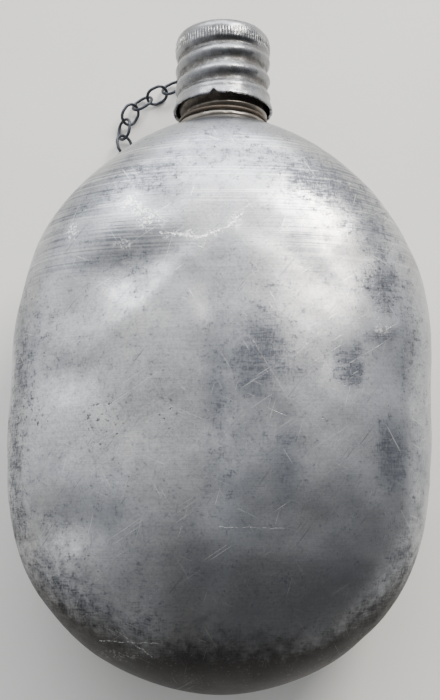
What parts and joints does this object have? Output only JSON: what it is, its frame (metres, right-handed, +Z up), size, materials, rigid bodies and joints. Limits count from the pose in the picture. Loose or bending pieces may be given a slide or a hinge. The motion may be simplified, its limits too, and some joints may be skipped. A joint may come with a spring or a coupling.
{
  "type": "canteen",
  "caption": "Flattened oval aluminium canteen lying on its flat back, with a threaded neck, a ribbed screw cap on a swivel and an iron retaining chain.",
  "frame": {"origin": "middle of the length and width, on the plane that the flat back rests on", "axes": "+Z up out of the front face, +Y from the bottom end to the cap, +X to the right seen from the front"},
  "size_m": [0.1324, 0.2203, 0.074],
  "materials": {
    "shell_aluminium": "worn satin, dented, faint turning lines and dark stains",
    "neck_aluminium": "dull, brownish in the thread",
    "cap_aluminium": "satin, knurled crown band",
    "fitting_steel": "dull",
    "gasket_rubber": "matt, aged",
    "chain_iron": "dark oxidised wire"
  },
  "bodies": {
    "canteen": {"body_shell": "shell_aluminium", "neck_ferrule": "neck_aluminium"},
    "swivel": {"swivel_loop": "fitting_steel", "swivel_rivet": "fitting_steel", "rivet_washer": "fitting_steel"},
    "cap": {"cap_shell": "cap_aluminium", "cap_gasket": "gasket_rubber"},
    "collar": {"collar_wire": "chain_iron"},
    "cap_link_01": {"cap_link_01": "chain_iron"},
    "cap_link_02": {"cap_link_02": "chain_iron"},
    "cap_link_03": {"cap_link_03": "chain_iron"},
    "cap_link_04": {"cap_link_04": "chain_iron"},
    "cap_link_05": {"cap_link_05": "chain_iron"},
    "cap_link_06": {"cap_link_06": "chain_iron"},
    "cap_link_07": {"cap_link_07": "chain_iron"},
    "cap_link_08": {"cap_link_08": "chain_iron"},
    "cap_link_09": {"cap_link_09": "chain_iron"},
    "cap_link_10": {"cap_link_10": "chain_iron"},
    "cap_link_11": {"cap_link_11": "chain_iron"},
    "cap_link_12": {"cap_link_12": "chain_iron"},
    "cap_link_13": {"cap_link_13": "chain_iron"},
    "cap_link_14": {"cap_link_14": "chain_iron"},
    "collar_link_01": {"collar_link_01": "chain_iron"},
    "collar_link_02": {"collar_link_02": "chain_iron"},
    "collar_link_03": {"collar_link_03": "chain_iron"},
    "collar_link_04": {"collar_link_04": "chain_iron"},
    "collar_link_05": {"collar_link_05": "chain_iron"}
  },
  "joints": [
    {"name": "cap_travel", "type": "slide", "parent": "canteen", "child": "swivel", "axis": [0, 1, 0], "range_m": [0, 0.05081]},
    {"name": "cap_turn", "type": "hinge", "parent": "swivel", "child": "cap", "pos_m": [0.00073, 0.07475, 0.035], "axis": [0, 1, 0], "range_deg": [0, 2880]},
    {"name": "collar_turn", "type": "hinge", "parent": "canteen", "child": "collar", "pos_m": [0.00073, 0.07105, 0.035], "axis": [0, 1, 0], "continuous": true},
    {"name": "cap_link_01_swing", "type": "hinge", "parent": "swivel", "child": "cap_link_01", "pos_m": [0.00073, 0.10645, 0.0308], "axis": [0.9982, -0.0005, -0.0598], "range_deg": [-3, 40]},
    {"name": "cap_link_02_swing", "type": "hinge", "parent": "cap_link_01", "child": "cap_link_02", "pos_m": [0.00035, 0.10634, 0.02451], "axis": [-0.0465, -0.9987, 0.0203], "range_deg": [-30, 30]},
    {"name": "cap_link_03_swing", "type": "hinge", "parent": "cap_link_02", "child": "cap_link_03", "pos_m": [-0.00033, 0.10624, 0.01825], "axis": [-0.9791, 0.097, 0.1788], "range_deg": [-30, 15]},
    {"name": "cap_link_04_swing", "type": "hinge", "parent": "cap_link_03", "child": "cap_link_04", "pos_m": [-0.00147, 0.10607, 0.01206], "axis": [0.0914, 0.9809, -0.1719], "range_deg": [-30, 30]},
    {"name": "cap_link_05_swing", "type": "hinge", "parent": "cap_link_04", "child": "cap_link_05", "pos_m": [-0.00471, 0.10543, 0.00669], "axis": [0.5058, -0.3275, -0.798], "range_deg": [-15, 30]},
    {"name": "cap_link_06_swing", "type": "hinge", "parent": "cap_link_05", "child": "cap_link_06", "pos_m": [-0.01005, 0.10318, 0.00422], "axis": [0.3083, -0.7774, 0.5482], "range_deg": [-30, 30]},
    {"name": "cap_link_07_swing", "type": "hinge", "parent": "cap_link_06", "child": "cap_link_07", "pos_m": [-0.01564, 0.10039, 0.00341], "axis": [-0.2875, 0.5176, 0.8059], "range_deg": [-30, 30]},
    {"name": "cap_link_08_swing", "type": "hinge", "parent": "cap_link_07", "child": "cap_link_08", "pos_m": [-0.02127, 0.09757, 0.00321], "axis": [-0.3605, 0.6887, -0.6291], "range_deg": [-30, 30]},
    {"name": "cap_link_09_swing", "type": "hinge", "parent": "cap_link_08", "child": "cap_link_09", "pos_m": [-0.02685, 0.09464, 0.0032], "axis": [0.3828, -0.5439, -0.7468], "range_deg": [-18, 30]},
    {"name": "cap_link_10_swing", "type": "hinge", "parent": "cap_link_09", "child": "cap_link_10", "pos_m": [-0.032, 0.09101, 0.0032], "axis": [0.6196, -0.356, 0.6995], "range_deg": [-30, 30]},
    {"name": "cap_link_11_swing", "type": "hinge", "parent": "cap_link_10", "child": "cap_link_11", "pos_m": [-0.03514, 0.08555, 0.0032], "axis": [-0.7305, 0.0524, 0.6809], "range_deg": [-30, 15]},
    {"name": "cap_link_12_swing", "type": "hinge", "parent": "cap_link_11", "child": "cap_link_12", "pos_m": [-0.03559, 0.07926, 0.0032], "axis": [-0.6305, -0.1388, -0.7636], "range_deg": [-30, 30]},
    {"name": "cap_link_13_swing", "type": "hinge", "parent": "cap_link_12", "child": "cap_link_13", "pos_m": [-0.03423, 0.07311, 0.0032], "axis": [0.6395, 0.4693, -0.609], "range_deg": [-30, 30]},
    {"name": "cap_link_14_swing", "type": "hinge", "parent": "cap_link_13", "child": "cap_link_14", "pos_m": [-0.03051, 0.06803, 0.0032], "axis": [0.3115, 0.4784, 0.821], "range_deg": [-30, 30]},
    {"name": "collar_link_01_swing", "type": "hinge", "parent": "collar", "child": "collar_link_01", "pos_m": [0.00073, 0.07105, 0.0168], "axis": [0.9636, 0.0001, -0.2674], "range_deg": [-30, 30]},
    {"name": "collar_link_02_swing", "type": "hinge", "parent": "collar_link_01", "child": "collar_link_02", "pos_m": [-0.00096, 0.07105, 0.01073], "axis": [-0.1639, -0.9795, 0.1173], "range_deg": [-30, 30]},
    {"name": "collar_link_03_swing", "type": "hinge", "parent": "collar_link_02", "child": "collar_link_03", "pos_m": [-0.00543, 0.07127, 0.0063], "axis": [-0.313, 0.3778, 0.8714], "range_deg": [-30, 30]},
    {"name": "collar_link_04_swing", "type": "hinge", "parent": "collar_link_03", "child": "collar_link_04", "pos_m": [-0.01128, 0.07169, 0.00401], "axis": [0.1729, 0.8334, -0.525], "range_deg": [-30, 30]},
    {"name": "collar_link_05_swing", "type": "hinge", "parent": "collar_link_04", "child": "collar_link_05", "pos_m": [-0.01749, 0.07252, 0.00328], "axis": [-0.1254, -0.6791, -0.7232], "range_deg": [-30, 30]}
  ],
  "couplings": [
    {"joint": "cap_travel", "follows": "cap_turn", "m_per_rad": 0.0010106}
  ]
}
